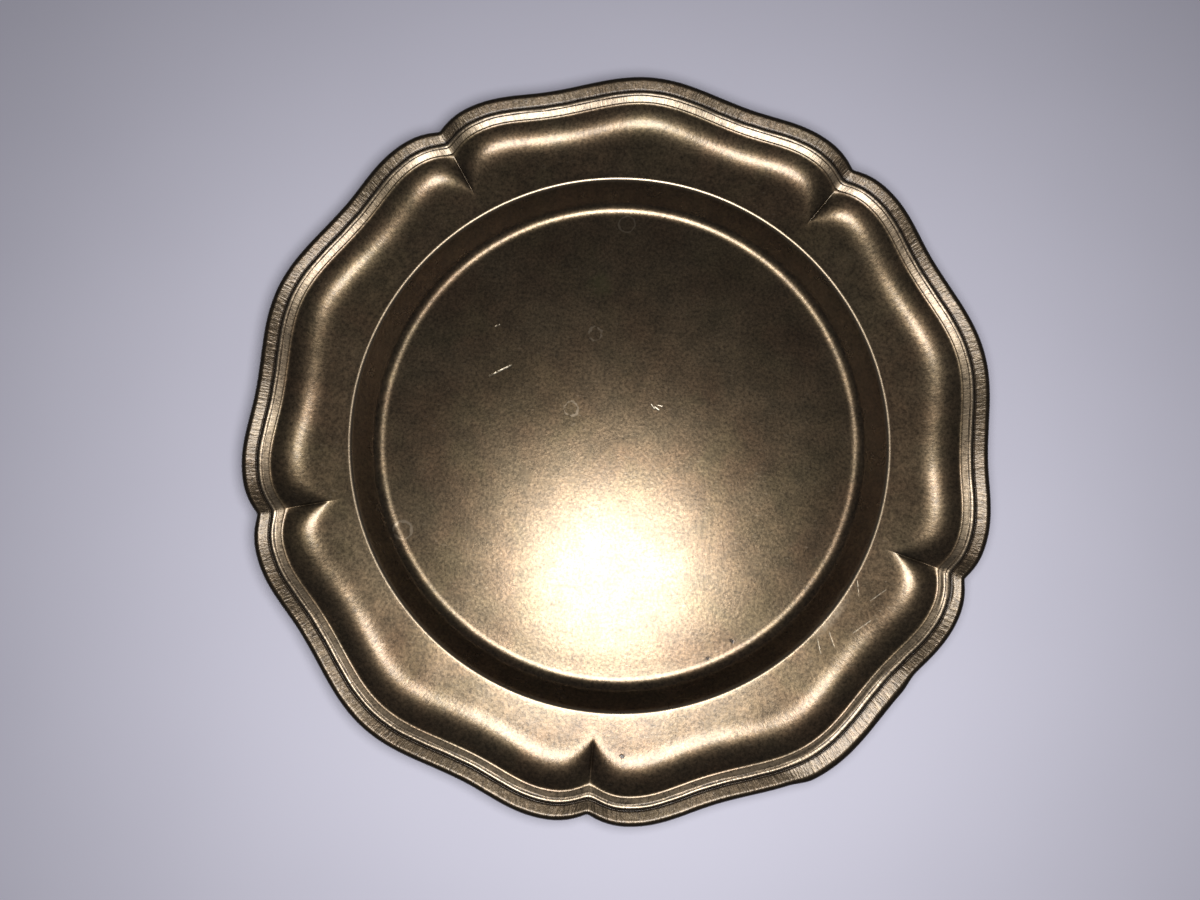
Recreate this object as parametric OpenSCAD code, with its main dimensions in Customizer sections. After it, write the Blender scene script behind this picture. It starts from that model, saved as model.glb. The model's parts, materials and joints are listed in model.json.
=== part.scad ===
// Five-lobed paten plate: a pressed sheet-brass dish with a flat well, a sloping flange that
// rises through a cove to a narrow ledge, and a reeded border of five mitred strips, one on
// each lobe, held by a seam of solder under the ledge.
// The origin is the centre of the floor's underside, and one notch of the rim points along -Y.

/* [Rim outline] */
// Radius from the plate's axis to the middle of a lobe
crown_r = 120; // [90:1:160]
// How far the waists of a lobe lie inside its middle
waist_drop = 3.3; // [1:0.1:5]
// How far the shoulders of a lobe lie inside its middle
shoulder_drop = 0.3; // [0:0.1:1]
// How far a notch lies inside the shoulders beside it
notch_depth = 3.4; // [2:0.1:5]
// Angle from a notch to the shoulder beside it
shoulder_angle = 7.1; // [5:0.1:10]
// Angle from a notch to the waist of a lobe
waist_angle = 20; // [15:0.5:25]

/* [Sheet] */
// Thickness of the sheet
sheet_t = 1.0; // [0.6:0.1:1.5]
// Width of the tight bend between the ledge and the cove
ledge_bend_w = 0.6; // [0.4:0.1:1]
// Length along the sheet of each half of the bend at the top of the well's wall
wall_bend_l = 0.8; // [0.3:0.1:1]
// Length along the sheet of each half of the bend at the foot of the well's wall
foot_bend_l = 2.9; // [2:0.1:5]

/* [Flange] */
// Slope of the plain part of the flange, in degrees
flange_slope = 4; // [2:0.5:8]
// Width of the plain slope at its narrowest, at the foot of a notch's crease
plain_w = 3.3; // [2:0.1:12]
// Width of the cove between the plain slope and the ledge
cove_w = 13; // [10:0.1:14]
// Height that the cove adds above the plain slope, at the middle of a lobe
cove_rise = 5.0; // [3:0.1:6]
// How sharply the cove steepens towards the ledge
cove_power = 3; // [2:0.1:4]
// Extra reach of the crease at a notch, towards the plate's axis
crease_reach = 0.5; // [0:0.1:1.5]
// How nearly straight the ridge of a crease runs from the ledge down to the flange, 1 being straight
ridge_share = 0.7; // [0:0.05:1]
// Distance beside a crease over which its ridge falls away
ridge_w = 2.2; // [1:0.1:4]

/* [Well] */
// Depth from the top of the wall to the floor
well_depth = 9.5; // [6:0.1:12]
// Slope of the wall, in degrees
wall_slope = 54; // [48:1:62]

/* [Border strips] */
// Width of the bead that runs along the rim
bead_w = 2.2; // [1.6:0.1:3]
// Width of the plain band inside the bead
band_w = 2.4; // [1.5:0.1:3]
// Width of the outer reed
outer_reed_w = 1.7; // [1.4:0.1:2.5]
// Width of the inner reed
inner_reed_w = 1.8; // [1.2:0.1:2.5]
// Height of the bead's crest above the ledge
border_h = 2.0; // [1.6:0.1:3]
// How far the bead rounds over at the rim, below its crest
bead_round = 1.2; // [0.8:0.1:1.4]
// How far the band falls from the crest
band_fall = 1.1; // [0.6:0.05:1.2]
// Depth of the groove between the band and the outer reed
groove_depth = 0.25; // [0.15:0.05:0.4]
// Height of the outer reed above the groove
outer_reed_h = 0.4; // [0.3:0.05:0.6]
// Height of the inner reed above the groove
inner_reed_h = 0.3; // [0.15:0.05:0.5]
// Depth of the fine groove between the two reeds, below the inner reed
fine_groove_depth = 0.15; // [0.05:0.05:0.25]
// Thickness of the lip that covers the sheet's edge
lip_t = 1.2; // [0.8:0.1:1.6]

/* [Solder] */
// Leg of the solder fillet under the ledge
solder_leg = 0.7; // [0.4:0.1:1.2]
// Height of bare lip left below the solder
lip_spare = 0.2; // [0.1:0.1:0.6]

/* [Hidden] */

lobes = 5;
lobe_angle = 360 / lobes;
half_lobe = lobe_angle / 2;
first_notch = -90;

// Stations on each half of a lobe; the power crowds them towards the notch
half_steps = 10;
crowding = 1.5;
// The power of the notch's cusp, and the angle over which an outline's slope is taken
cusp_power = 2.4;
slope_step = 0.01;
// Intervals on the cove and on each kind of bend
cove_steps = 5;
tight_steps = 3;
foot_steps = 5;

// Share of the cove's climb at which a crease's ridge starts to rise
ridge_start = 0.22;

// Radii that the outline passes through
shoulder_r = crown_r - shoulder_drop;
waist_r = crown_r - waist_drop;

// Distances in from the rim
border_w = bead_w + band_w + outer_reed_w + inner_reed_w;
corner_d = border_w + ledge_bend_w;
foot_d = corner_d + cove_w;

// The well, worked inwards from the foot of the crease
well_r = inset_r(0, foot_d) - plain_w;
wall_foot_r = well_r - well_depth / tan(wall_slope);

// Heights
well_z = sheet_t + well_depth;
ledge_z = plain_z(inset_r(half_lobe, corner_d)) + cove_rise;
crest_z = ledge_z + border_h;
solder_top_z = ledge_z - sheet_t;
lip_z = solder_top_z - solder_leg - lip_spare;

// The border's section: where the bead's crest lies across its width, how far round its arc
// runs before the band begins, and where the inner reed's top lies across its width
bead_crest_share = 0.7;
bead_start_angle = 180;
bead_end_angle = 65;
bead_steps = 4;
reed_top_share = 0.4;
reed_steps = 4;
lip_chamfer = 0.3;
// How hollow the face of the solder is, as a share of its leg
solder_hollow = 0.3;

function ease(t) = (1 - cos(180 * t)) / 2;

function mix(a, b, t) = a + (b - a) * t;

// Distance from the axis to the rim, u degrees from the nearest notch
function outline_r(u) =
    u < shoulder_angle
        ? shoulder_r - notch_depth * pow(1 - u / shoulder_angle, cusp_power)
    : u < waist_angle
        ? mix(shoulder_r, waist_r, ease((u - shoulder_angle) / (waist_angle - shoulder_angle)))
        : mix(waist_r, crown_r, ease((u - waist_angle) / (half_lobe - waist_angle)));

// Tangent of the angle between the rim and a circle about the axis
function rim_tilt(u) =
    (outline_r(u + slope_step) - outline_r(u)) / (outline_r(u) * slope_step * PI / 180);

// How far the crease reaches beyond the parallel curve, d in from the rim
function crease(u, d) =
    u < shoulder_angle
        ? crease_reach * max(0, d - border_w) / (foot_d - border_w) * pow(1 - u / shoulder_angle, 2)
        : 0;

// Distance from the axis to the curve that runs d in from the rim, mitred at the notches
function inset_r(u, d) = outline_r(u) - d * norm([1, rim_tilt(u)]) - crease(u, d);

// Height of the flange's plain slope, continued outwards as a cone
function plain_z(r) = well_z + (r - well_r) * tan(flange_slope);

// Point of the cove, d in from the rim; the two coves that meet at a notch fold up into a ridge
function cove_point(u, d) =
    let (
        r = inset_r(u, d),
        rise = ledge_z - plain_z(inset_r(u, corner_d)),
        climb = (foot_d - d) / cove_w,
        hollow = pow(climb, cove_power),
        straight = max(hollow, (climb - ridge_start) / (1 - ridge_start)),
        fold = ridge_share * exp(-r * u * PI / 180 / ridge_w)
    )
    [r, plain_z(r) + rise * mix(hollow, straight, fold)];

// Points of a round bend that leaves the line through a and corner and joins the one through b
function bend(a, corner, b, steps) = [
    for (i = [0 : steps])
        let (t = i / steps)
        mix(mix(a, corner, t), mix(corner, b, t), t)
];

// Point at a distance from a corner of the section, along a slope
function along(corner, distance, slope) = corner + distance * [cos(slope), sin(slope)];

// Upper face of the sheet from its edge to the floor, as radius and height
function sheet_top(u) =
    let (
        ledge_corner = [inset_r(u, corner_d), ledge_z],
        bend_end_d = corner_d + ledge_bend_w,
        wall_top = [well_r, well_z],
        wall_foot = [wall_foot_r, sheet_t],
        slope_start = cove_point(u, foot_d),
        slope_end = along(wall_top, wall_bend_l, flange_slope)
    )
    [
        [inset_r(u, lip_t), ledge_z],
        each bend([inset_r(u, border_w), ledge_z], ledge_corner, cove_point(u, bend_end_d),
                  tight_steps),
        for (i = [1 : cove_steps]) cove_point(u, mix(bend_end_d, foot_d, i / cove_steps)),
        mix(slope_start, slope_end, 0.5),
        each bend(slope_end, wall_top, along(wall_top, -wall_bend_l, wall_slope), tight_steps),
        each bend(along(wall_foot, foot_bend_l, wall_slope), wall_foot,
                  wall_foot - [foot_bend_l, 0], foot_steps)
    ];

// Direction from point i's neighbour before it to its neighbour after it
function run(points, i) =
    points[min(i + 1, len(points) - 1)] - points[max(i - 1, 0)];

// Lower face of the sheet, from the floor back to the edge
function sheet_bottom(top) = [
    for (i = [len(top) - 1 : -1 : 0])
        let (
            flat = i == 0 || i == len(top) - 1,
            way = flat ? [-1, 0] : run(top, i) / norm(run(top, i))
        )
        top[i] + sheet_t * [-way[1], way[0]]
];

// Half of an arch between two points, as rise above the straight line at fraction t
function arch(start, end, height, t) = mix(start, end, t) + [0, height * sin(180 * t)];

// Section of a border strip, d in from the rim against height
function border_section() =
    let (
        crest_d = bead_w * bead_crest_share,
        groove = [bead_w + band_w, crest_z - band_fall - groove_depth],
        inner_top_z = groove[1] + inner_reed_h,
        fine_groove = [groove[0] + outer_reed_w, inner_top_z - fine_groove_depth],
        reed_top = [fine_groove[0] + inner_reed_w * reed_top_share, inner_top_z]
    )
    [
        [lip_t, ledge_z],
        [lip_t, lip_z],
        [lip_chamfer, lip_z],
        [0, lip_z + lip_chamfer],
        for (i = [0 : bead_steps])
            let (a = mix(bead_start_angle, bead_end_angle, i / bead_steps))
            [crest_d + crest_d * cos(a), crest_z - bead_round + bead_round * sin(a)],
        [groove[0] - groove_depth, crest_z - band_fall],
        for (i = [0 : reed_steps - 1])
            arch(groove, fine_groove, outer_reed_h - (fine_groove[1] - groove[1]) / 2,
                 i / reed_steps),
        fine_groove,
        reed_top,
        for (i = [1 : reed_steps - 1])
            let (a = 90 * i / reed_steps)
            [
                mix(reed_top[0], border_w, sin(a)),
                mix(ledge_z, inner_top_z, cos(a))
            ],
        [border_w, ledge_z]
    ];

// Section of the solder fillet, d in from the rim against height
function solder_section() = [
    [lip_t, solder_top_z],
    [lip_t + solder_leg, solder_top_z],
    [lip_t + solder_leg * solder_hollow, solder_top_z - solder_leg * solder_hollow],
    [lip_t, solder_top_z - solder_leg]
];

// Angle of a station from the notch that its lobe starts at
function station_angle(i) =
    i <= half_steps
        ? half_lobe * pow(i / half_steps, crowding)
        : lobe_angle - station_angle(2 * half_steps - i);

function from_notch(angle) = min(angle, lobe_angle - angle);

// Points in space of a section of radii and heights, turned to a bearing
function turned(section, bearing) = [
    for (p = section) [p[0] * cos(bearing), p[0] * sin(bearing), p[1]]
];

// A section given as distance from the rim, placed u degrees from a notch
function placed(section, u) = [for (p = section) [inset_r(u, p[0]), p[1]]];

function bearing(lobe, angle) = first_notch + lobe * lobe_angle + angle;

// Triangles between neighbouring sections of one size; the pair at gap is left open
function skin(count, size, ring, gap = -1) = [
    for (i = [0 : count - (ring ? 1 : 2)], k = [0 : size - 1])
        if (k != gap)
            let (
                next = (i + 1) % count,
                k_next = (k + 1) % size,
                a = i * size + k,
                b = i * size + k_next,
                c = next * size + k_next,
                d = next * size + k
            )
            each [[a, b, c], [a, c, d]]
];

// Face through point k of every section, all round the ring
function ring_face(count, size, k) = [for (i = [0 : count - 1]) i * size + k];

function reversed(list) = [for (i = [len(list) - 1 : -1 : 0]) list[i]];

// Sheet dish in one piece: floor, wall, flange, cove and ledge
module plate_body() {
    angles = [for (i = [0 : 2 * half_steps - 1]) station_angle(i)];
    sections = [
        for (lobe = [0 : lobes - 1], angle = angles)
            let (top = sheet_top(from_notch(angle)))
            turned(concat(top, sheet_bottom(top)), bearing(lobe, angle))
    ];
    count = len(sections);
    size = len(sections[0]);
    floor_k = size / 2 - 1;
    color([0.56, 0.47, 0.32])
        polyhedron(
            points = [for (s = sections) each s],
            faces = concat(
                skin(count, size, true, floor_k),
                [
                    reversed(ring_face(count, size, floor_k)),
                    ring_face(count, size, floor_k + 1)
                ]
            ),
            convexity = 6
        );
}

// Reeded strip along one lobe, cut square to the rim's bearing at both notches
module border(lobe) {
    sections = [
        for (i = [0 : 2 * half_steps])
            let (angle = station_angle(i))
            turned(placed(border_section(), from_notch(angle)), bearing(lobe, angle))
    ];
    count = len(sections);
    size = len(sections[0]);
    last = (count - 1) * size;
    color([0.66, 0.56, 0.38])
        polyhedron(
            points = [for (s = sections) each s],
            faces = concat(
                skin(count, size, false),
                [
                    [for (k = [size - 1 : -1 : 0]) k],
                    [for (k = [0 : size - 1]) last + k]
                ]
            ),
            convexity = 6
        );
}

// Fillet of solder in the corner between the ledge and the border's lip
module solder_seam() {
    angles = [for (i = [0 : 2 * half_steps - 1]) station_angle(i)];
    sections = [
        for (lobe = [0 : lobes - 1], angle = angles)
            turned(placed(solder_section(), from_notch(angle)), bearing(lobe, angle))
    ];
    color([0.62, 0.62, 0.6])
        polyhedron(
            points = [for (s = sections) each s],
            faces = skin(len(sections), len(sections[0]), true),
            convexity = 6
        );
}

plate_body();
border(0);  // border_1
border(1);  // border_2
border(2);  // border_3
border(3);  // border_4
border(4);  // border_5
solder_seam();
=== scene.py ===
"""Brass paten plate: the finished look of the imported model.

The sheet dish and the five border strips are rebuilt as smooth meshes, and the solder keeps its
CAD node. The meshes follow the CAD's curves, apart from notches that are slightly rounded, a
ridge in each crease that starts a little nearer the rim, and the wear and unevenness of an old
plate. Lengths named here are in millimetres and angles in degrees, apart from the two slopes of
the sheet, which are in radians, and the table, which is in metres. Meshes are made in metres.
The plate's axis is Z, and one notch of its rim points along -Y.
"""
import json
import math

import bpy
import numpy as np
from mathutils import Euler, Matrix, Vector


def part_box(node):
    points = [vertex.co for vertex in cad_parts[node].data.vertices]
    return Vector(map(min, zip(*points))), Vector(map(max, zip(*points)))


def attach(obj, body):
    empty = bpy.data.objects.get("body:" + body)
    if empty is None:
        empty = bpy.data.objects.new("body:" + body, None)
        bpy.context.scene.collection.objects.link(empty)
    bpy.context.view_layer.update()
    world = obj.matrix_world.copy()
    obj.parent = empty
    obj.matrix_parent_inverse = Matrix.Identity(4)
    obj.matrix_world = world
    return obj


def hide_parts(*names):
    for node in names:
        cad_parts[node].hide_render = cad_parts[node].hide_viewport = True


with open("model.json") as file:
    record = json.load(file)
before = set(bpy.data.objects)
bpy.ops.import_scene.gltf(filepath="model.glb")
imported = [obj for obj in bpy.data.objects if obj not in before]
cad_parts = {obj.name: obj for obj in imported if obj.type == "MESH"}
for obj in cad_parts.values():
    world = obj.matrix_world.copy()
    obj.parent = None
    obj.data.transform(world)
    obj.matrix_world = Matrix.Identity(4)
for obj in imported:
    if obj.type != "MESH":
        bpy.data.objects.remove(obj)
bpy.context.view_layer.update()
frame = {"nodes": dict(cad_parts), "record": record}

MM = 0.001
# The smooth outline keeps this far inside the CAD's flat facets
SKIN_GAP = 0.12

# ---------------------------------------------------------------- sizes from the frame
mounts = {m["name"]: m for m in frame["record"]["mounts"]}
_, body_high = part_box("plate_body")
strip_low, strip_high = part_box("border_3")
crown_r = strip_high[1] / MM - SKIN_GAP
crest_z = strip_high[2] / MM
lip_z = strip_low[2] / MM
ledge_z = body_high[2] / MM
sheet_t = mounts["well_floor"]["pos_m"][2] / MM

# ---------------------------------------------------------------- shape of the rim
LOBES = 5
LOBE_ANGLE = 360 / LOBES
HALF_LOBE = LOBE_ANGLE / 2
FIRST_NOTCH = -90
WAIST_DROP = 3.3
SHOULDER_DROP = 0.3
NOTCH_DEPTH = 3.4
SHOULDER_ANGLE = 7.1
WAIST_ANGLE = 20
CUSP_POWER = 2.4

# ---------------------------------------------------------------- shape of the sheet
BORDER_WIDTHS = {"bead": 2.2, "band": 2.4, "outer_reed": 1.7, "inner_reed": 1.8}
BORDER_W = sum(BORDER_WIDTHS.values())
LEDGE_BEND_W = 0.6
WALL_BEND_L = 0.8
FOOT_BEND_L = 2.9
FLANGE_SLOPE = math.radians(4)
PLAIN_W = 3.3
COVE_W = 13
COVE_POWER = 3
CREASE_REACH = 0.5
WELL_DEPTH = 9.5
WALL_SLOPE = math.radians(54)
CORNER_D = BORDER_W + LEDGE_BEND_W
FOOT_D = CORNER_D + COVE_W
# Where the border's curves run through a notch they are rounded over this many degrees, by a
# share that depends on the distance in from the rim
NOTCH_SOFT = 1.0
SOFT_AT = (0, 4, CORNER_D, CORNER_D + 2.5)
SOFT_SHARE = (0.25, 1.0, 1.0, 0.0)
# The crease at a notch is a thin ridge on a broader fold
RIDGE_START = 0.32
RIDGE_SHARE = 0.7
RIDGE_THIN, RIDGE_THIN_W = 0.35, 0.42
RIDGE_BROAD_W = 2.2
# Steps of the sheet's section, from its edge to the foot of the wall
SEAT_STEPS = 3
LEDGE_BEND_STEPS = 6
COVE_STEPS = 20
PLAIN_STEPS = 8
WALL_BEND_STEPS = 6
WALL_STEPS = 6
FOOT_BEND_STEPS = 10

# ---------------------------------------------------------------- shape of the border
LIP_T = 1.2
LIP_ROUND = 0.35
LIP_BEVEL = 0.1
LIP_STEPS = 4
LIP_INNER_BEND_STEPS, LIP_OUTER_BEND_STEPS = 2, 4
SIDE_STEPS = 6
# The bead is an arc over its crest, which lies this share of its width in from the rim
BEAD_ROUND = 1.2
BEAD_CREST_SHARE = 0.62
BEAD_FROM, BEAD_TO = 180, 65
BEAD_STEPS = 16
BAND_FALL = 1.1
BAND_STEPS = 8
# The band bends into its groove between these shares of its slope and of the groove's side
BAND_BEND, BAND_BEND_STEPS = (0.93, 0.7), 3
GROOVE_DEPTH = 0.25
GROOVE_HALF_W = 0.3
GROOVE_D = BORDER_WIDTHS["bead"] + BORDER_WIDTHS["band"]
FINE_GROOVE_D = GROOVE_D + BORDER_WIDTHS["outer_reed"]
FINE_GROOVE_RISE = 0.1
OUTER_REED_H = 0.42
OUTER_REED_STEPS = 12
# The inner reed's top lies this far in and up from the fine groove, and bends between these
# shares of its two slopes; the inner slope then has points at these shares
INNER_REED_TOP = (0.15, 0.1)
INNER_REED_BEND, INNER_REED_BEND_STEPS = (0.5, 0.25), 3
INNER_REED_FALL = 0.85
INNER_SLOPE_AT = (0.4, 0.55, 0.7)
# The strip's inner edge is rubbed over the sheet's bend, as far as its toe
TOE_W = 1.05
TOE_FALL = 0.9
TOE_BEND_FROM, TOE_CORNER = 0.85, (0.45, -0.2)
TOE_BEND_STEPS = 7
# The face under the toe, hidden inside the sheet
HIDDEN_FALLS = (0.55, 0.2)
SEAT_FACE_STEPS = 4

# ---------------------------------------------------------------- wear, as bearings and sizes
# The lobe at the plate's right front is spread outwards, and its reeds are rubbed down
SPREAD_FROM, SPREAD_TO = 304.0, 322.0
SPREAD_SOFT = 4.0
SPREAD_OUT = 1.1
SPREAD_W, SPREAD_POWER = 3.5, 0.7
SPREAD_RUB = 0.45
# The strip beside the next notch is worn to a flat
FLAT_AT, FLAT_WIDTH = 339.5, 3.2
FLAT_RUB = 0.75
# Rubbed reeds tend to a plain slope, from below the crest down to above the ledge
RUBBED_TOP, RUBBED_FOOT = 0.5, 0.75
RUBBED_FROM_D, RUBBED_W = 2, 6
# Wear starts this far above the ledge and is full after the second distance, and it rubs the
# reeds from one distance in from the rim to another short of the strip's inner edge
WORN_ABOVE, WORN_FADE = 0.3, 0.5
REEDS_FROM_D, REEDS_FROM_FADE = 3.4, 0.8
REEDS_END_W, REEDS_END_FADE = 0.3, 0.6
# A strip's dents and sway fade out at its ends over this angle, and its sway also fades out at
# its two sides over this width
END_FADE, SIDE_FADE = 0.6, 1.0
# The flange's unevenness fades in over this width from the well, and out below the ledge
WANDER_W = 8
WANDER_BELOW, WANDER_FADE = 0.6, 3
# Unevenness: how far, and how many waves there are round the plate
FLANGE_WANDER, FLANGE_WAVES = 0.09, (3, 8, 17, 31)
FLANGE_RIPPLE, FLANGE_RIPPLE_WAVES = 0.04, (23, 41, 67)
STRIP_DENT, STRIP_DENT_WAVES = 0.056, (29, 53, 97, 151)
STRIP_SWAY, STRIP_SWAY_WAVES = 0.07, (19, 37, 71)
GROOVE_FILL, GROOVE_FILL_WAVES = 0.1, (13, 37, 61)
GROOVE_FILL_MEAN, GROOVE_FILL_SWING = 0.55, 0.9
GROOVE_FILL_W = 0.3


def ease(t):
    return (1 - np.cos(np.pi * np.clip(t, 0, 1))) / 2


def mix(a, b, t):
    return a + (b - a) * t


def outline_r(u):
    """Distance from the axis to the rim, u degrees from the nearest notch."""
    shoulder, waist = crown_r - SHOULDER_DROP, crown_r - WAIST_DROP
    cusp = shoulder - NOTCH_DEPTH * np.clip(1 - u / SHOULDER_ANGLE, 0, 1) ** CUSP_POWER
    fall = mix(shoulder, waist, ease((u - SHOULDER_ANGLE) / (WAIST_ANGLE - SHOULDER_ANGLE)))
    climb = mix(waist, crown_r, ease((u - WAIST_ANGLE) / (HALF_LOBE - WAIST_ANGLE)))
    return np.where(u < SHOULDER_ANGLE, cusp, np.where(u < WAIST_ANGLE, fall, climb))


def softness(d):
    """Degrees over which the curve d in from the rim is rounded at a notch."""
    return NOTCH_SOFT * np.interp(d, SOFT_AT, SOFT_SHARE)


def inset_r(u, d):
    """Distance from the axis to the curve d in from the rim, folded at the notches."""
    step = 0.01
    u = np.hypot(u, softness(d))
    r = outline_r(u)
    tilt = (outline_r(u + step) - r) / (r * math.radians(step))
    near_notch = np.clip(1 - u / SHOULDER_ANGLE, 0, 1) ** 2
    crease = CREASE_REACH * np.maximum(0, d - BORDER_W) / (FOOT_D - BORDER_W) * near_notch
    return r - d * np.hypot(1, tilt) - crease


WELL_R = float(inset_r(0.0, FOOT_D)) - PLAIN_W
WALL_FOOT_R = WELL_R - WELL_DEPTH / math.tan(WALL_SLOPE)
WELL_Z = sheet_t + WELL_DEPTH


def plain_z(r):
    """Height of the flange's plain slope, continued outwards as a cone."""
    return WELL_Z + (r - WELL_R) * math.tan(FLANGE_SLOPE)


def point(u, r, z):
    """One point of the section, as radius and height, for every station in u."""
    return np.array([r + 0 * u, z + 0 * u])


def cove_point(u, d):
    """Point of the cove; the two coves that meet at a notch fold up into a thin ridge."""
    r = inset_r(u, d)
    rise = ledge_z - plain_z(inset_r(u, CORNER_D))
    climb = np.clip((FOOT_D - d) / COVE_W, 0, 1)
    hollow = climb ** COVE_POWER
    straight = np.maximum(hollow, (climb - RIDGE_START) / (1 - RIDGE_START))
    aside = r * np.radians(u)
    fold = RIDGE_THIN * np.exp(-(aside / RIDGE_THIN_W) ** 2)
    fold = fold + (1 - RIDGE_THIN) * np.exp(-aside / RIDGE_BROAD_W)
    return point(u, r, plain_z(r) + rise * mix(hollow, straight, RIDGE_SHARE * fold))


def bend(a, corner, b, steps):
    """Points of a round bend that leaves the line a-corner and joins the line corner-b."""
    points = []
    for i in range(steps + 1):
        t = i / steps
        points.append(mix(mix(a, corner, t), mix(corner, b, t), t))
    return points


def along(corner, distance, slope):
    return corner + distance * np.array([[math.cos(slope)], [math.sin(slope)]])


def sheet_top(u):
    """Upper face of the sheet from its edge to the foot of the wall, as (radius, height)."""
    corner = point(u, inset_r(u, CORNER_D), ledge_z)
    bend_end_d = CORNER_D + LEDGE_BEND_W
    wall_top = point(u, WELL_R, WELL_Z)
    wall_foot = point(u, WALL_FOOT_R, sheet_t)
    slope_start = cove_point(u, FOOT_D)
    slope_end = along(wall_top, WALL_BEND_L, FLANGE_SLOPE)
    wall_start = along(wall_top, -WALL_BEND_L, WALL_SLOPE)
    wall_end = along(wall_foot, FOOT_BEND_L, WALL_SLOPE)
    floor_start = wall_foot - point(u, FOOT_BEND_L, 0)
    edge = point(u, inset_r(u, LIP_T), ledge_z)
    seat_end = point(u, inset_r(u, BORDER_W), ledge_z)
    points = [mix(edge, seat_end, i / SEAT_STEPS) for i in range(SEAT_STEPS)]
    points += bend(seat_end, corner, cove_point(u, bend_end_d), LEDGE_BEND_STEPS)
    for i in range(1, COVE_STEPS + 1):
        points.append(cove_point(u, mix(bend_end_d, FOOT_D, i / COVE_STEPS)))
    points += [mix(slope_start, slope_end, i / PLAIN_STEPS) for i in range(1, PLAIN_STEPS)]
    points += bend(slope_end, wall_top, wall_start, WALL_BEND_STEPS)
    points += [mix(wall_start, wall_end, i / WALL_STEPS) for i in range(1, WALL_STEPS)]
    points += bend(wall_end, wall_foot, floor_start, FOOT_BEND_STEPS)
    return np.array(points).transpose(2, 0, 1)


def at(d, z):
    """Point of a strip's section, as distance in from the rim and height."""
    return np.array([d, z])


def lip_section():
    """The lip, from the seat down its inner face and up its outer side."""
    side_low, side_high = lip_z + LIP_ROUND, crest_z - BEAD_ROUND
    points = [at(LIP_T, mix(ledge_z, lip_z, i / LIP_STEPS)) for i in range(LIP_STEPS)]
    points += bend(at(LIP_T, lip_z + LIP_BEVEL), at(LIP_T, lip_z),
                   at(LIP_T - LIP_BEVEL, lip_z), LIP_INNER_BEND_STEPS)
    points += bend(at(LIP_ROUND, lip_z), at(0, lip_z), at(0, side_low), LIP_OUTER_BEND_STEPS)
    points += [at(0, mix(side_low, side_high, i / SIDE_STEPS)) for i in range(1, SIDE_STEPS)]
    return points


def bead_section():
    """The round bead, from its outer side over its crest."""
    crest_d = BORDER_WIDTHS["bead"] * BEAD_CREST_SHARE
    points = []
    for i in range(BEAD_STEPS + 1):
        a = math.radians(mix(BEAD_FROM, BEAD_TO, i / BEAD_STEPS))
        points.append(at(crest_d + crest_d * math.cos(a),
                         crest_z - BEAD_ROUND + BEAD_ROUND * math.sin(a)))
    return points


def reed_section(band_start, groove, fine):
    """The sloping band down to its groove, and the outer reed up to the fine groove."""
    band_end = groove + at(-GROOVE_HALF_W, GROOVE_DEPTH)
    points = [mix(band_start, band_end, i / BAND_STEPS) for i in range(1, BAND_STEPS)]
    points += bend(mix(band_start, band_end, BAND_BEND[0]), band_end,
                   mix(band_end, groove, BAND_BEND[1]), BAND_BEND_STEPS)
    for i in range(OUTER_REED_STEPS + 1):
        t = i / OUTER_REED_STEPS
        points.append(mix(groove, fine, t) + at(0, OUTER_REED_H * math.sin(math.pi * t)))
    return points


def inner_section(fine):
    """The inner reed, rubbed down over the sheet's bend as far as the toe."""
    top = fine + at(*INNER_REED_TOP)
    end = at(BORDER_W, top[1] - INNER_REED_FALL)
    toe = at(BORDER_W + TOE_W, ledge_z - TOE_FALL)
    points = bend(mix(fine, top, INNER_REED_BEND[0]), top, mix(top, end, INNER_REED_BEND[1]),
                  INNER_REED_BEND_STEPS)
    points += [mix(top, end, t) for t in INNER_SLOPE_AT]
    points += bend(mix(top, end, TOE_BEND_FROM), end + at(*TOE_CORNER), toe, TOE_BEND_STEPS)
    return points


def hidden_section():
    """Under the toe and along the seat, back to the lip."""
    points = [at(d, ledge_z - fall) for d, fall in zip((CORNER_D, BORDER_W), HIDDEN_FALLS)]
    for i in range(1, SEAT_FACE_STEPS):
        points.append(at(mix(BORDER_W, LIP_T, i / SEAT_FACE_STEPS), ledge_z))
    return points


def border_section():
    """Section of a strip as (distance in from the rim, height), round its whole outline."""
    groove = at(GROOVE_D, crest_z - BAND_FALL - GROOVE_DEPTH)
    fine = at(FINE_GROOVE_D, groove[1] + FINE_GROOVE_RISE)
    points = lip_section() + bead_section()
    points += reed_section(points[-1], groove, fine)
    points += inner_section(fine) + hidden_section()
    return np.array(points)


# ---------------------------------------------------------------- unevenness and wear
def ripple(bearing, seed, waves):
    """Slow, repeatable unevenness round the plate, between about -1 and 1."""
    rng = np.random.default_rng(seed)
    a = np.radians(bearing)
    total = np.zeros_like(a)
    for count in waves:
        phase = rng.uniform(0, 2 * np.pi)
        weight = rng.uniform(0.5, 1.0)
        total += weight * np.sin(count * a + phase)
    return total / len(waves)


def window(bearing, start, stop, soft):
    """1 between two bearings, easing to 0 over the soft distance outside them."""
    rise = ease((bearing - start + soft) / soft)
    fall = ease((stop + soft - bearing) / soft)
    return rise * fall


def spread(bearing):
    return window(bearing % 360, SPREAD_FROM, SPREAD_TO, SPREAD_SOFT)


def flat_wear(bearing):
    return np.exp(-(((bearing % 360) - FLAT_AT) / FLAT_WIDTH) ** 2)


# ---------------------------------------------------------------- meshes
HALF_STEPS = 96
CROWDING = 1.5
BORDER_CHART = "along_and_across"
# Rings of a flat disc, as shares of its edge; a ring has half the points of the one outside it
# while that has more than the fewest
DISC_SHARES = (0.95, 0.86, 0.74, 0.6, 0.44, 0.28, 0.14, 0.06)
DISC_FEWEST = 30


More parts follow.
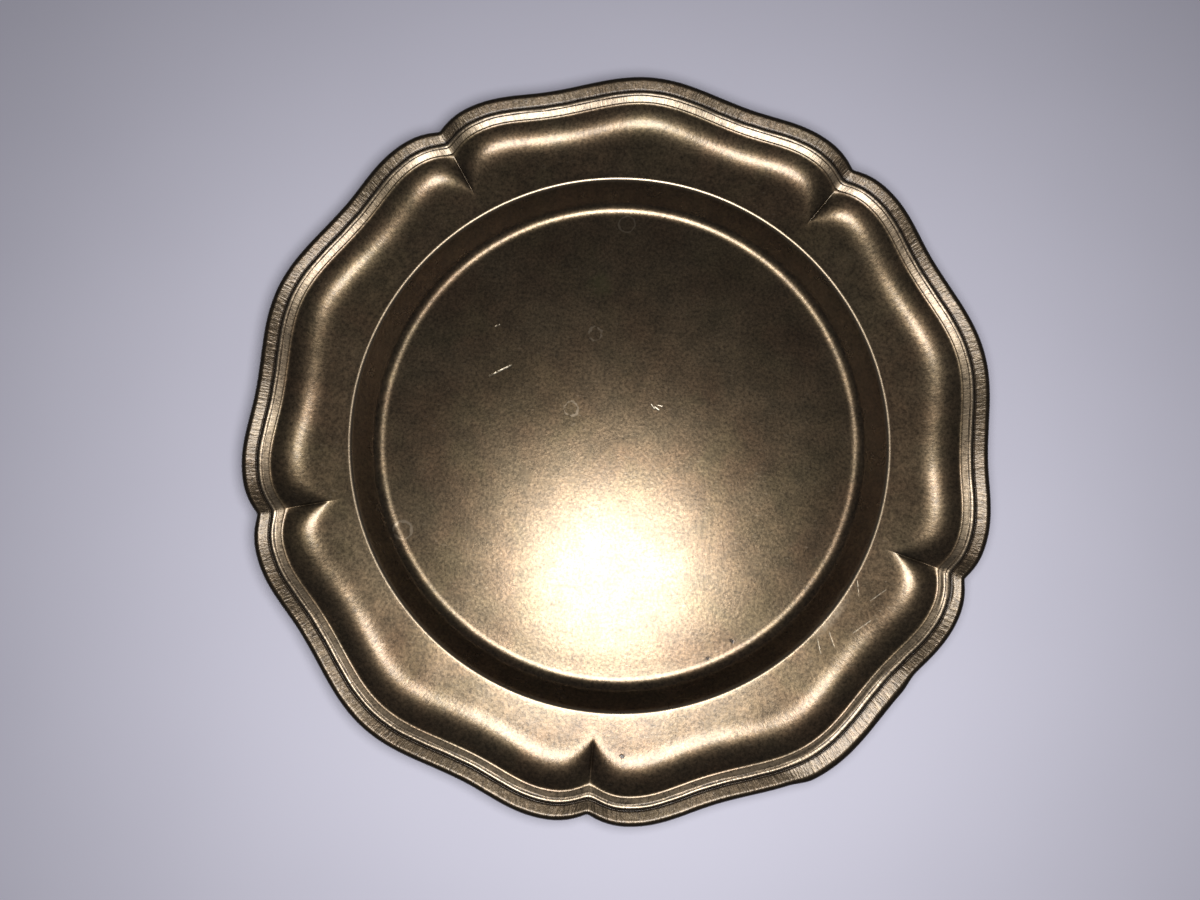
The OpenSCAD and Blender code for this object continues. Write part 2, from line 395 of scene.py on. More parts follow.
def lobe_angles():
    """Angles of the stations across one lobe, crowded towards its two notches."""
    half = HALF_LOBE * (np.arange(HALF_STEPS + 1) / HALF_STEPS) ** CROWDING
    return np.concatenate([half, LOBE_ANGLE - half[-2::-1]])


def from_notch(angle):
    return np.minimum(angle, LOBE_ANGLE - angle)


def in_space(r, z, bearing):
    """Points in metres from radii and heights in millimetres at bearings in degrees."""
    a = np.radians(bearing)
    return np.stack([r * np.cos(a), r * np.sin(a), z + 0 * r], axis=-1) * MM


def strip_faces(count, size, ring, gap=None):
    """Quads between neighbouring sections; the pair of points at gap is left open."""
    faces = []
    for i in range(count if ring else count - 1):
        j = (i + 1) % count
        for k in range(size):
            if k == gap:
                continue
            n = (k + 1) % size
            faces.append((i * size + k, j * size + k, j * size + n, i * size + n))
    return faces


def new_piece(name, points, faces, replaced, chart=None):
    """A visible piece; chart holds a place along and across the border for every point."""
    mesh = bpy.data.meshes.new(name)
    mesh.from_pydata([tuple(p) for p in points], [], faces)
    mesh.validate()
    mesh.update()
    mesh.polygons.foreach_set("use_smooth", [True] * len(mesh.polygons))
    if chart is not None:
        corners = np.empty(len(mesh.loops), dtype=np.int32)
        mesh.loops.foreach_get("vertex_index", corners)
        layer = mesh.uv_layers.new(name=BORDER_CHART)
        layer.data.foreach_set("uv", chart[corners].astype(np.float32).ravel())
    piece = bpy.data.objects.new(name, mesh)
    bpy.context.scene.collection.objects.link(piece)
    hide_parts(replaced)
    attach(piece, "root")
    return piece


def ring_faces(ring, inner):
    """Faces between a ring and the next one in, which has as many points or half as many."""
    faces = []
    n, m = len(ring), len(inner)
    for j in range(m):
        k = (j + 1) % m
        if m == n:
            faces.append((ring[j], ring[k], inner[k], inner[j]))
        else:
            middle = ring[2 * j + 1]
            faces.append((ring[2 * j], middle, inner[j]))
            faces.append((middle, ring[(2 * j + 2) % n], inner[k], inner[j]))
    return faces


def disc_rings(edge_r, z, bearings):
    """Points and faces of a flat disc whose rings thin out towards its middle.

    The first ring is the edge itself, whose points the caller already has.
    """
    points, faces = [], []
    ring = [("edge", i) for i in range(len(bearings))]
    for share in DISC_SHARES:
        if len(ring) > DISC_FEWEST and share < DISC_SHARES[0]:
            bearings = bearings[::2]
        inner = []
        for bearing in bearings:
            inner.append(("own", len(points)))
            points.append(in_space(np.float64(edge_r * share), z, np.float64(bearing)))
        faces += ring_faces(ring, inner)
        ring = inner
    centre = ("own", len(points))
    points.append(in_space(np.float64(0.0), z, np.float64(0.0)))
    for j in range(len(ring)):
        faces.append((ring[j], ring[(j + 1) % len(ring)], centre))
    return points, faces


def flange_wander(section, bearing):
    """Height added to the beaten and handled flange, fading out at the wall and the ledge."""
    wander = FLANGE_WANDER * ripple(bearing, 11, FLANGE_WAVES)
    wander = wander + FLANGE_RIPPLE * ripple(bearing, 12, FLANGE_RIPPLE_WAVES)
    on_flange = np.clip((section[..., 0] - WELL_R) / WANDER_W, 0, 1)
    on_flange *= np.clip((ledge_z - WANDER_BELOW - section[..., 1]) / WANDER_FADE, 0, 1)
    return wander[:, None] * on_flange


def sheet_section(u):
    """The sheet's upper face and, a thickness below it, the way back along its lower face."""
    top = sheet_top(u)
    before = np.concatenate([top[:, :1], top[:, :-1]], axis=1)
    after = np.concatenate([top[:, 1:], top[:, -1:]], axis=1)
    way = after - before
    way[:, 0] = (-1, 0)
    way[:, -1] = (-1, 0)
    way /= np.linalg.norm(way, axis=2, keepdims=True)
    bottom = top + sheet_t * np.stack([-way[..., 1], way[..., 0]], axis=-1)
    return np.concatenate([top, bottom[:, ::-1]], axis=1)


def make_plate_body():
    """The pressed sheet: top skin, edge and underside, closed by two flat discs."""
    angles = lobe_angles()[:-1]
    bearing = np.concatenate([FIRST_NOTCH + LOBE_ANGLE * n + angles for n in range(LOBES)])
    section = sheet_section(np.tile(from_notch(angles), LOBES))
    section[..., 1] += flange_wander(section, bearing)
    count, size = section.shape[:2]
    points = list(in_space(section[..., 0], section[..., 1], bearing[:, None]).reshape(-1, 3))
    gap = size // 2 - 1
    faces = strip_faces(count, size, True, gap)
    for k, z, flip in ((gap, sheet_t, False), (gap + 1, 0.0, True)):
        extra, discs = disc_rings(section[0, k, 0], z, bearing)
        start = len(points)
        points += extra
        for face in discs:
            ids = [i * size + k if kind == "edge" else start + i for kind, i in face]
            faces.append(tuple(reversed(ids)) if flip else tuple(ids))
    return new_piece("plate_sheet", points, faces, "plate_body")


def worn_section(u, bearing, d, z):
    """The strip's section with its reeds worn and a hand-filed unevenness along its length."""
    upper = np.clip((z - ledge_z - WORN_ABOVE) / WORN_FADE, 0, 1)
    # reeds rub down towards a plain slope where the strip is worn
    slope = np.clip((d - RUBBED_FROM_D) / RUBBED_W, 0, 1)
    rubbed = mix(crest_z - RUBBED_TOP, ledge_z + RUBBED_FOOT, slope)
    reeds = np.clip((d - REEDS_FROM_D) / REEDS_FROM_FADE, 0, 1)
    reeds *= np.clip((BORDER_W - REEDS_END_W - d) / REEDS_END_FADE, 0, 1)
    rub = np.maximum(SPREAD_RUB * spread(bearing), FLAT_RUB * flat_wear(bearing))
    z = mix(z, rubbed, upper * reeds * rub[:, None])
    ends = np.clip(u / END_FADE, 0, 1)[:, None]
    dent = STRIP_DENT * np.minimum(ripple(bearing, 31, STRIP_DENT_WAVES), 0.0)
    z = z + upper * ends * dent[:, None]
    inside = np.clip(d / SIDE_FADE, 0, 1) * np.clip((BORDER_W - d) / SIDE_FADE, 0, 1)
    sway = STRIP_SWAY * ripple(bearing, 32, STRIP_SWAY_WAVES)
    d = d + upper * ends * inside * sway[:, None]
    # the fine groove comes and goes along the strip
    filled = GROOVE_FILL_MEAN + GROOVE_FILL_SWING * ripple(bearing, 33, GROOVE_FILL_WAVES)
    filled = np.clip(filled, 0, 1)[:, None]
    z = z + GROOVE_FILL * filled * np.exp(-((d - FINE_GROOVE_D) / GROOVE_FILL_W) ** 2) * upper
    return d, z


def make_border(lobe):
    """One reeded strip, from one notch to the next."""
    angles = lobe_angles()
    u = from_notch(angles)
    bearing = FIRST_NOTCH + LOBE_ANGLE * lobe + angles
    profile = border_section()
    d = np.tile(profile[:, 0], (len(u), 1))
    z = np.tile(profile[:, 1], (len(u), 1))
    d, z = worn_section(u, bearing, d, z)
    outward = np.clip(1 - d / SPREAD_W, 0, 1) ** SPREAD_POWER
    r = inset_r(u[:, None], d) + SPREAD_OUT * spread(bearing)[:, None] * outward
    count, size = r.shape
    points = in_space(r, z, bearing[:, None]).reshape(-1, 3)
    faces = strip_faces(count, size, False)
    last = (count - 1) * size
    faces.append(tuple(range(size)))
    faces.append(tuple(last + k for k in range(size - 1, -1, -1)))
    along_rim = np.radians(bearing)[:, None] * crown_r + 0 * d
    chart = np.stack([along_rim, d], axis=-1).reshape(-1, 2) * MM
    name = f"border_{lobe + 1}"
    return new_piece(f"reeded_{name}", points, faces, name, chart)


# ---------------------------------------------------------------- looks of the materials
BRASS = (0.124, 0.0915, 0.0545, 1)
BROWN = (0.108, 0.071, 0.041, 1)
OLIVE = (0.109, 0.085, 0.046, 1)
DARK = (0.020, 0.0135, 0.0095, 1)
RUBBED_AND_HIGHLIGHT = (0.25, 0.198, 0.138, 1)
SCRATCHED = (0.62, 0.56, 0.44, 1)
VERDIGRIS = (0.12, 0.12, 0.05, 1)
BAND_BROWN = (0.052, 0.038, 0.023, 1)
SOLDER_LIGHT = (0.46, 0.40, 0.31, 1)
SOLDER_DARK = (0.25, 0.20, 0.15, 1)
TABLE_COOL = (0.735, 0.73, 0.875, 1)
TABLE_PALE = (0.765, 0.76, 0.905, 1)
# The sheet's roughness between its smoothest and roughest patches, and how much the flange adds
ROUGH_LOW, ROUGH_HIGH = 0.265, 0.30
FLANGE_ROUGHER = 0.055
SCRATCH_ROUGHER, DARK_MARKS_ROUGHER = 0.2, 0.15
BORDER_ROUGH = (0.29, 0.38)
# Distances out from the well over which the flange's and the cove's looks set in
FLANGE_FROM = (1, 3)
COVE_FROM = (6, 11)
# The painted highlight along the wall's top edge: half its width, and where it has faded out
WALL_EDGE_HIGHLIGHT = (0.35, 0.8)
# The painted shade on the wall: how far up its middle is, half its width, and where it has faded
# out
WALL_MIDDLE, WALL_SHADE = 0.55, (2.0, 3.2)
# The scrape beside the wall's top: its distance out, half its width, and where it has faded out
SCRAPE_OUT, SCRAPE_W = 0.8, (0.8, 2.6)
# How strongly each mark, and the painted highlight and painted shade at the wall, colour the
# sheet
RING_SHARE, SCRATCH_SHARE, SCRAPE_SHARE = 0.85, 0.8, 0.8
GREEN_SHARE, SPECK_SHARE = 0.35, 0.5
EDGE_HIGHLIGHT_SHARE, WALL_SHADE_SHARE = 0.75, 0.45
# A clear coat over the metal makes the middle of its highlights narrower and whiter
COAT_WEIGHT, COAT_ROUGHNESS = 0.55, 0.2

# Painted highlights along the border's reeds: distances from their middles over which they fade
# out, and how strong they are
OUTER_REED_HIGHLIGHT, OUTER_HIGHLIGHT_SHARE = (0.3, 0.8), 0.85
INNER_REED_HIGHLIGHT, INNER_HIGHLIGHT_SHARE = (0.5, 1.2), 0.5
# The band's brown tarnish, solid and in marks, on the band and then on the reeds
BAND_EDGE_W = 0.5
BAND_SOLID = (0.6, 0.0)
BAND_MARKED = (0.85, 0.2)
MARK_DEPTHS = (1.0, 0.4)
# Painted shade along the rim's outer edge and in the two grooves: its distances from the rim and
# from the grooves, and how strong it is at most
RIM_SHADE, RIM_SHADE_SHARE = (0.3, 1.2), 0.7
GROOVE_SHADE = (0.2, 0.62)
FINE_GROOVE_SHADE, FINE_GROOVE_SHADE_SHARE = (0.05, 0.34), 0.8

# Marks on the sheet, where the photo shows them: each scratch has its two ends and its width
SCRATCHES = (
    ((-45.9, 17.5), (-38.3, 22.3), 0.38),
    ((-45.6, 34.8), (-43.8, 35.8), 0.3),
    ((10.6, 12.4), (12.6, 11.2), 0.3),
    ((9.6, 13.2), (11.0, 11.4), 0.24),
    ((11.2, 13.0), (13.6, 12.6), 0.24),
)
FAINT_SCRATCHES = (
    ((79.4, -39.0), (80.2, -44.6), 0.26),
    ((88.9, -41.2), (83.6, -45.6), 0.26),
    ((84.6, -51.2), (78.6, -56.2), 0.26),
    ((71.2, -55.8), (73.4, -61.1), 0.26),
    ((67.8, -58.7), (69.2, -63.7), 0.24),
    ((75.8, -41.8), (71.9, -49.4), 0.3),
    ((72.1, -49.0), (66.8, -57.4), 0.3),
)
FAINT_SHARE = 0.35
# A scratch is full over this share of its width, and tapers over this share of its length
SCRATCH_CORE, SCRATCH_TAPER = 0.3, 0.15
# Each ring stain has its middle, radius, width and unevenness
RING_STAINS = (
    ((-4.0, 75.2), 3.2, 0.5, 0.3),
    ((-68.6, -36.5), 3.4, 0.6, 0.4),
    ((-17.1, 9.2), 2.8, 0.5, 0.4),
    ((-11.4, 35.6), 2.6, 0.45, 0.7),
)
# Each pit or patch has its middle, radius, soft edge and unevenness
PITS = (
    ((42.7, -62.5), 0.9, 0.6, 0.4),
    ((35.1, -69.0), 0.8, 0.6, 0.4),
    ((9.4, -100.0), 0.9, 0.6, 0.4),
)
GREEN_PATCH = ((-11.2, 52.5), 5.5, 3.5, 1.2)
SCRAPED_PATCH = ((71.5, -51.0), 10, 7, 1.5)


# ---------------------------------------------------------------- materials
class Graph:
    """The nodes of one material, linked as they are made."""

    def __init__(self, name):
        self.material = bpy.data.materials.new(name)
        self.material.use_nodes = True
        self.tree = self.material.node_tree
        self.tree.nodes.clear()
        self.place = self.add("ShaderNodeTexCoord").outputs["Object"]

    def add(self, kind, values=None, **settings):
        node = self.tree.nodes.new(kind)
        for key, value in settings.items():
            setattr(node, key, value)
        for key, value in (values or {}).items():
            if isinstance(value, bpy.types.NodeSocket):
                self.tree.links.new(value, node.inputs[key])
            else:
                node.inputs[key].default_value = value
        return node

    def noise(self, size_mm, detail=3.0, rough=0.5, place=None, distortion=0.0):
        """Noise whose blobs are about size_mm across."""
        return self.add("ShaderNodeTexNoise", {
            "Vector": place or self.place, "Scale": 1 / (size_mm * MM), "Detail": detail,
            "Roughness": rough, "Distortion": distortion}).outputs["Fac"]

    def math(self, operation, a, b=0.0, clamp=False):
        return self.add("ShaderNodeMath", {0: a, 1: b}, operation=operation,
                        use_clamp=clamp).outputs[0]

    def vector(self, operation, a, b=(0, 0, 0), result="Vector"):
        node = self.add("ShaderNodeVectorMath", {0: a, 1: b}, operation=operation)
        return node.outputs[result]

    def flat_place(self):
        """The place with its height left out."""
        return self.vector("MULTIPLY", self.place, (1, 1, 0))

    def remap(self, value, low, high, to_low=0.0, to_high=1.0):
        return self.add("ShaderNodeMapRange", {
            "Value": value, "From Min": low, "From Max": high, "To Min": to_low,
            "To Max": to_high}, clamp=True).outputs["Result"]

    def near(self, measure, at_mm, inner_mm, outer_mm):
        """1 where a length is within inner_mm of at_mm, and 0 beyond outer_mm."""
        away = self.math("ABSOLUTE", self.math("SUBTRACT", measure, at_mm * MM))
        return self.remap(away, inner_mm * MM, outer_mm * MM, 1.0, 0.0)

    def blend(self, factor, a, b, mode="MIX"):
        node = self.add("ShaderNodeMix", data_type="RGBA", blend_type=mode)
        for index, value in ((0, factor), (6, a), (7, b)):
            if isinstance(value, bpy.types.NodeSocket):
                self.tree.links.new(value, node.inputs[index])
            else:
                node.inputs[index].default_value = value
        return node.outputs[2]

    def bump(self, height, distance_mm, strength=1.0, under=None):
        values = {"Height": height, "Distance": distance_mm * MM, "Strength": strength}
        if under is not None:
            values["Normal"] = under
        return self.add("ShaderNodeBump", values).outputs["Normal"]

    def scratch(self, start, stop, width):
        """Mask of a straight scratch between two points of the plate, in millimetres."""
        a, b = Vector(start) * MM, Vector(stop) * MM
        length = (b - a).length
        way = (b - a) / length
        offset = self.vector("SUBTRACT", self.flat_place(), (a.x, a.y, 0))
        run = self.vector("DOT_PRODUCT", offset, (way.x, way.y, 0), "Value")
        side = self.vector("DOT_PRODUCT", offset, (-way.y, way.x, 0), "Value")
        side = self.math("ABSOLUTE", side)
        across = self.remap(side, SCRATCH_CORE * width * MM, width * MM, 1.0, 0.0)
        head = self.remap(run, 0.0, SCRATCH_TAPER * length)
        tail = self.remap(run, (1 - SCRATCH_TAPER) * length, length, 1.0, 0.0)
        return self.math("MULTIPLY", across, self.math("MULTIPLY", head, tail))

    def spot(self, centre, radius, soft, lumpy=0.0):
        """Mask of a round patch on the plate, in millimetres."""
        middle = (centre[0] * MM, centre[1] * MM, 0)
        distance = self.vector("DISTANCE", self.flat_place(), middle, "Value")
        if lumpy:
            wobble = self.remap(self.noise(radius * 0.8), 0.3, 0.7, -lumpy * MM, lumpy * MM)
            distance = self.math("ADD", distance, wobble)
        return self.remap(distance, (radius - soft) * MM, radius * MM, 1.0, 0.0)

    def ring(self, centre, radius, width, lumpy=0.0):
        """Mask of a thin ring on the plate, in millimetres."""
        outer = self.spot(centre, radius, width / 2, lumpy)
        inner = self.spot(centre, radius - width, width / 2, lumpy)
        return self.math("SUBTRACT", outer, inner, clamp=True)

    def strongest(self, masks):
        total = masks[0]
        for mask in masks[1:]:
            total = self.math("MAXIMUM", total, mask)
        return total

    def finish(self, colour, roughness, normal, metallic=1.0):
        shader = self.add("ShaderNodeBsdfPrincipled", {
            "Base Color": colour, "Roughness": roughness, "Metallic": metallic,
            "Normal": normal, "Coat Weight": COAT_WEIGHT * metallic,
            "Coat Roughness": COAT_ROUGHNESS, "Coat Normal": normal})
        self.add("ShaderNodeOutputMaterial", {"Surface": shader.outputs["BSDF"]})
        return self.material


def tarnished(g):
    """Brass colour with brown and olive tarnish in soft patches, and a fine mottle."""
    patches = g.remap(g.noise(26, detail=4.0, rough=0.6), 0.36, 0.62)
    olive = g.remap(g.noise(21, detail=3.0, rough=0.5, distortion=0.6), 0.48, 0.68, 0.0, 0.55)
    colour = g.blend(patches, BRASS, BROWN)
    colour = g.blend(olive, colour, OLIVE)
    fine = g.remap(g.noise(1.05, detail=4.0, rough=0.78), 0.36, 0.64, 0.5, 1.46)
    clouds = g.remap(g.noise(6.5, detail=3.0, rough=0.6), 0.34, 0.66, 0.80, 1.20)
    mottle = g.math("MULTIPLY", fine, clouds)
    shade = g.add("ShaderNodeCombineColor", {0: mottle, 1: mottle, 2: mottle})
    return g.blend(1.0, colour, shade.outputs["Color"], "MULTIPLY")


def fine_grain(g):
    """Fine speckle of old polished sheet, as small pits and hills."""
    waves = g.noise(7.5, detail=2.0, rough=0.4)
    grain = g.noise(1.2, detail=3.0, rough=0.7)
    soft = g.bump(waves, distance_mm=0.05, strength=0.35)
    return g.bump(grain, distance_mm=0.03, strength=0.8, under=soft)


def polar(g):
    """Distance round the plate and distance from its axis, in metres."""
    split = g.add("ShaderNodeSeparateXYZ", {0: g.place})
    turn = g.math("ARCTAN2", split.outputs["Y"], split.outputs["X"])
    radius = g.vector("LENGTH", g.flat_place(), result="Value")
    return g.math("MULTIPLY", turn, crown_r * MM), radius


def broken_up(g):
    """Mask that breaks up the sheet's marks, and mask of its upper face, the only marked one."""
    gaps = g.remap(g.noise(1.1, detail=3.0, rough=0.6), 0.36, 0.56, 0.15, 1.0)
    facing = g.add("ShaderNodeNewGeometry").outputs["True Normal"]
    upper = g.math("GREATER_THAN", g.add("ShaderNodeSeparateXYZ", {0: facing}).outputs["Z"])
    return gaps, upper


def sheet_scratches(g, gaps, upper):
    clear = g.strongest([g.scratch(*mark) for mark in SCRATCHES])
    faint = g.strongest([g.scratch(*mark) for mark in FAINT_SCRATCHES])
    scratches = g.math("MAXIMUM", clear, g.math("MULTIPLY", faint, FAINT_SHARE))
    return g.math("MULTIPLY", g.math("MULTIPLY", scratches, gaps), upper)


def sheet_stains(g, colour, specks):
    """A green patch, dark specks, and countless short rubs a little brighter than the tarnish."""
    green = g.spot(*GREEN_PATCH)
    colour = g.blend(g.math("MULTIPLY", green, GREEN_SHARE), colour, VERDIGRIS)
    colour = g.blend(g.math("MULTIPLY", specks, SPECK_SHARE), colour, DARK)
    place = g.add("ShaderNodeMapping", {"Vector": g.place, "Rotation": (0, 0, 0.6),
                                        "Scale": (0.35, 1.0, 1.0)}).outputs["Vector"]
    flecks = g.remap(g.noise(0.9, detail=3.0, rough=0.7, place=place), 0.62, 0.70)
    thick = g.remap(g.noise(17, detail=3.0, rough=0.6), 0.4, 0.6, 0.1, 0.5)
    return g.blend(g.math("MULTIPLY", flecks, thick), colour, RUBBED_AND_HIGHLIGHT)


def wall_colour(g, colour, radius, gaps, upper):
    """A painted highlight along the wall's top edge, a scrape at the right front, and painted
    shade on the wall.
    """
    # painted highlight along the wall's top edge
    edge = g.near(radius, WELL_R, *WALL_EDGE_HIGHLIGHT)
    colour = g.blend(g.math("MULTIPLY", edge, EDGE_HIGHLIGHT_SHARE), colour, RUBBED_AND_HIGHLIGHT)
    beside = g.near(radius, WELL_R + SCRAPE_OUT, *SCRAPE_W)
    scrape = g.math("MULTIPLY", g.spot(*SCRAPED_PATCH), beside)
    scrape = g.math("MULTIPLY", g.math("MULTIPLY", scrape, gaps), upper)
    colour = g.blend(g.math("MULTIPLY", scrape, SCRAPE_SHARE), colour, RUBBED_AND_HIGHLIGHT)
    # painted shade darkens the wall
    wall = g.near(radius, mix(WALL_FOOT_R, WELL_R, WALL_MIDDLE), *WALL_SHADE)
    return g.blend(g.math("MULTIPLY", wall, WALL_SHADE_SHARE), colour, DARK)


def sheet_roughness(g, radius, scratches, dark_marks):
    on_flange = g.remap(radius, *[(WELL_R + out) * MM for out in FLANGE_FROM])
    rough = g.remap(g.noise(11, detail=4.0, rough=0.6), 0.3, 0.7, ROUGH_LOW, ROUGH_HIGH)
    rough = g.math("ADD", rough, g.math("MULTIPLY", on_flange, FLANGE_ROUGHER))
    rough = g.math("ADD", rough, g.math("MULTIPLY", scratches, SCRATCH_ROUGHER))
    return g.math("ADD", rough, g.math("MULTIPLY", dark_marks, DARK_MARKS_ROUGHER), clamp=True)


def sheet_relief(g, run, radius, marks):
    """Grain, polishing marks that run outwards across the cove, and sunken scratches and pits."""
    streak_place = g.add("ShaderNodeCombineXYZ", {
        "X": run, "Y": g.math("MULTIPLY", radius, 0.4)}).outputs["Vector"]
    streaks = g.noise(1.1, detail=3.0, rough=0.65, place=streak_place)
    on_cove = g.remap(radius, *[(WELL_R + out) * MM for out in COVE_FROM])
    streaks = g.math("MULTIPLY", streaks, on_cove)
    sunken = g.math("MULTIPLY", marks, -1.0)
    normal = g.bump(streaks, distance_mm=0.045, strength=0.7, under=fine_grain(g))
    return g.bump(sunken, distance_mm=0.05, strength=0.9, under=normal)


def sheet_material():
    g = Graph("tarnished_sheet_brass")
    run, radius = polar(g)
    gaps, upper = broken_up(g)
    scratches = sheet_scratches(g, gaps, upper)
    rings = g.math("MULTIPLY", g.strongest([g.ring(*stain) for stain in RING_STAINS]), upper)
    pits = g.math("MULTIPLY", g.strongest([g.spot(*pit) for pit in PITS]), upper)
    specks = g.remap(g.noise(3.1, detail=5.0, rough=0.7), 0.68, 0.74)
    colour = sheet_stains(g, tarnished(g), specks)
    colour = g.blend(g.math("MULTIPLY", rings, RING_SHARE), colour, RUBBED_AND_HIGHLIGHT)
    colour = g.blend(pits, colour, DARK)
    colour = g.blend(g.math("MULTIPLY", scratches, SCRATCH_SHARE), colour, SCRATCHED)
    colour = wall_colour(g, colour, radius, gaps, upper)
    rough = sheet_roughness(g, radius, scratches, g.math("ADD", pits, specks))
    normal = sheet_relief(g, run, radius, g.math("ADD", scratches, pits))
    return g.finish(colour, rough, normal)


def border_colour(g, across, marks, dark_marks):
    """Painted highlights on the reeds, a brown and worn band, painted shade along the rim's outer
    edge and in the grooves, and dark pits.
    """
    # painted highlight: the middles of the two reeds are coloured lighter
    outer = g.near(across, mix(GROOVE_D, FINE_GROOVE_D, 0.5), *OUTER_REED_HIGHLIGHT)
    inner = g.near(across, mix(FINE_GROOVE_D, BORDER_W, 0.5), *INNER_REED_HIGHLIGHT)
    outer = g.math("MULTIPLY", outer, OUTER_HIGHLIGHT_SHARE)
    reed_highlight = g.strongest([outer, g.math("MULTIPLY", inner, INNER_HIGHLIGHT_SHARE)])
    colour = g.blend(reed_highlight, tarnished(g), RUBBED_AND_HIGHLIGHT)
    band = g.remap(across, (GROOVE_D - BAND_EDGE_W) * MM, GROOVE_D * MM, *BAND_SOLID)
    colour = g.blend(band, colour, BAND_BROWN)
    worn = past_groove(g, across, BAND_MARKED)
    worn = g.math("MULTIPLY", g.remap(marks, 0.44, 0.60), worn)
    colour = g.blend(worn, colour, BAND_BROWN)
    # painted shade along the rim's outer edge and in the grooves
    colour = g.blend(dark_marks, colour, DARK)
    pitted = g.remap(g.noise(0.9, detail=4.0, rough=0.7), 0.54, 0.64, 0.0, 0.7)
    return g.blend(pitted, colour, DARK)


def past_groove(g, across, values):
    """Goes from the first value on the band to the second on the reeds."""
    return g.remap(across, GROOVE_D * MM, (GROOVE_D + BAND_EDGE_W) * MM, *values)


def border_painted_shade(g, across, coarse, run):
    """Painted shade along the rim's outer edge and in the two grooves."""
    patchy = g.remap(g.noise(3.0, detail=4.0, rough=0.65, place=run), 0.35, 0.65, 0.45, 1.0)
    # painted shade on the rim's outer edge
    edge = g.remap(across, RIM_SHADE[0] * MM, RIM_SHADE[1] * MM, RIM_SHADE_SHARE, 0.0)
    # painted shade in the groove, made patchy along the rim
    groove = g.math("MULTIPLY", g.near(across, GROOVE_D, *GROOVE_SHADE), patchy)
    # painted shade in the fine groove
    fine = g.near(across, FINE_GROOVE_D, *FINE_GROOVE_SHADE)
    fine = g.math("MULTIPLY", fine, g.remap(coarse, 0.4, 0.6))
    return g.strongest([edge, groove, g.math("MULTIPLY", fine, FINE_GROOVE_SHADE_SHARE)])


def border_material():
    g = Graph("tarnished_border_brass")
    chart = g.add("ShaderNodeUVMap", uv_map=BORDER_CHART).outputs["UV"]
    split = g.add("ShaderNodeSeparateXYZ", {0: chart})
    across = split.outputs["Y"]
    # marks across the bands: noise that changes faster along the rim than across it
    run = g.add("ShaderNodeCombineXYZ", {
        "X": split.outputs["X"], "Y": g.math("MULTIPLY", across, 0.3)}).outputs["Vector"]
    marks = g.noise(0.95, detail=3.0, rough=0.65, place=run)
    coarse = g.noise(2.8, detail=3.0, rough=0.6, place=run)
    marks = g.math("ADD", g.math("MULTIPLY", marks, 0.6), g.math("MULTIPLY", coarse, 0.4))
    # painted shade along the rim's outer edge and in the grooves
    dark_marks = border_painted_shade(g, across, coarse, run)
    rough = g.remap(marks, 0.35, 0.65, *BORDER_ROUGH)
    rough = g.math("ADD", rough, g.math("MULTIPLY", dark_marks, DARK_MARKS_ROUGHER))
    depth = past_groove(g, across, MARK_DEPTHS)
    relief = g.math("MULTIPLY", marks, depth)
    normal = g.bump(relief, distance_mm=0.22, strength=0.9, under=fine_grain(g))
    return g.finish(border_colour(g, across, marks, dark_marks), rough, normal)


def solder_material():
    g = Graph("dull_hard_solder")
    cloud = g.remap(g.noise(3.0, detail=4.0, rough=0.6), 0.35, 0.65)
    colour = g.blend(cloud, SOLDER_LIGHT, SOLDER_DARK)
    rough = g.remap(g.noise(1.5, detail=3.0, rough=0.6), 0.3, 0.7, 0.4, 0.6)
    normal = g.bump(g.noise(0.8, detail=3.0, rough=0.6), distance_mm=0.06, strength=0.8)
    return g.finish(colour, rough, normal)


def floor_material():
    g = Graph("pale_table")
    cloud = g.remap(g.noise(160, detail=2.0, rough=0.5), 0.3, 0.7)
    colour = g.blend(cloud, TABLE_COOL, TABLE_PALE)
    rough = g.remap(g.noise(40, detail=2.0, rough=0.5), 0.3, 0.7, 0.55, 0.7)
    normal = g.bump(g.noise(0.9, detail=2.0, rough=0.5), distance_mm=0.02, strength=0.3)
    return g.finish(colour, rough, normal, 0.0)


# ---------------------------------------------------------------- stage, light and camera
# Where the plate is seen from: close above it, a little in front of its middle
CAMERA_AT = (-6.1, -40.7, 300.1)
CAMERA_TURN = (6.98, -0.63, 5.2)
CAMERA_LENS, CAMERA_SENSOR = 27, 36
# The lamp is beside the camera and shines straight down; its power is in watts
LAMP_AT = (8.7, -50.1, 303.0)
LAMP_WIDTH = 120
LAMP_POWER = 0.81
LAMP_COLOUR = (1.0, 0.985, 0.965)
ROOM_COLOUR = (0.97, 0.96, 1.0, 1)
ROOM_STRENGTH = 0.115
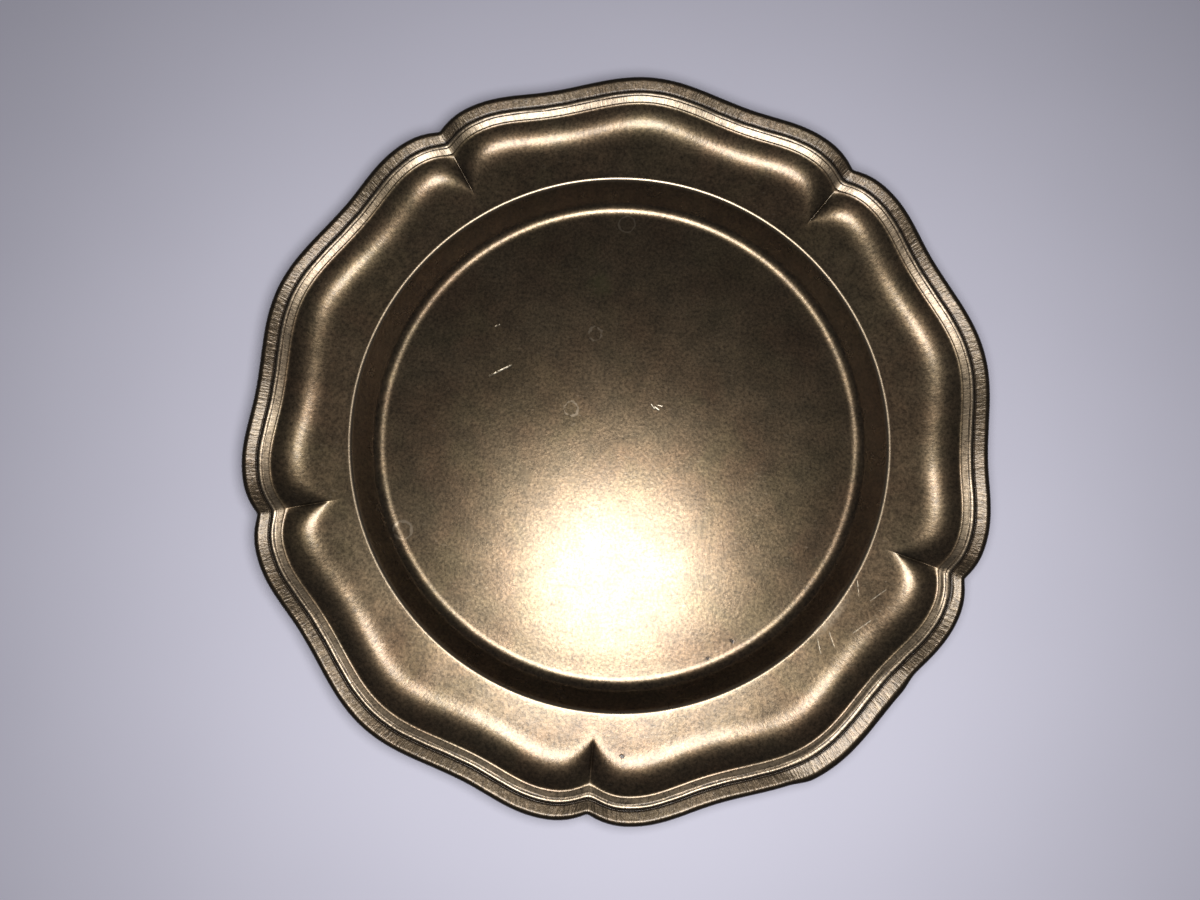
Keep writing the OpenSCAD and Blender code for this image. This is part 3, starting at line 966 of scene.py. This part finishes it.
# Half the table's side and its height, in metres
TABLE_HALF, TABLE_Z = 3.0, -0.0001


def make_floor():
    mesh = bpy.data.meshes.new("table_top")
    corners = ((-1, -1), (1, -1), (1, 1), (-1, 1))
    mesh.from_pydata([(x * TABLE_HALF, y * TABLE_HALF, TABLE_Z) for x, y in corners], [],
                     [(0, 1, 2, 3)])
    table = bpy.data.objects.new("table_top", mesh)
    table.data.materials.append(floor_material())
    bpy.context.scene.collection.objects.link(table)


def make_lamp():
    light = bpy.data.lights.new("close_soft_lamp", "AREA")
    light.shape = "DISK"
    light.size = LAMP_WIDTH * MM
    light.energy = LAMP_POWER
    light.color = LAMP_COLOUR
    lamp = bpy.data.objects.new("close_soft_lamp", light)
    lamp.location = Vector(LAMP_AT) * MM
    lamp.rotation_mode = "QUATERNION"
    lamp.rotation_quaternion = Vector((0, 0, -1)).to_track_quat("-Z", "Y")
    lamp.visible_camera = False
    bpy.context.scene.collection.objects.link(lamp)


def make_world():
    world = bpy.data.worlds.new("soft_room")
    world.use_nodes = True
    background = world.node_tree.nodes["Background"]
    background.inputs["Color"].default_value = ROOM_COLOUR
    background.inputs["Strength"].default_value = ROOM_STRENGTH
    bpy.context.scene.world = world
    bpy.context.scene.view_settings.view_transform = "Standard"


def make_camera():
    data = bpy.data.cameras.new("camera")
    data.lens, data.sensor_width = CAMERA_LENS, CAMERA_SENSOR
    data.clip_start, data.clip_end = 0.01, 20
    camera = bpy.data.objects.new("camera", data)
    camera.location = Vector(CAMERA_AT) * MM
    camera.rotation_euler = Euler([math.radians(a) for a in CAMERA_TURN], "XYZ")
    bpy.context.scene.collection.objects.link(camera)
    bpy.context.scene.camera = camera


def main():
    sheet = make_plate_body()
    sheet.data.materials.append(sheet_material())
    strip_look = border_material()
    for lobe in range(LOBES):
        make_border(lobe).data.materials.append(strip_look)
    solder = frame["nodes"]["solder_seam"]
    solder.data.materials.clear()
    solder.data.materials.append(solder_material())
    make_floor()
    make_lamp()
    make_world()
    make_camera()


main()
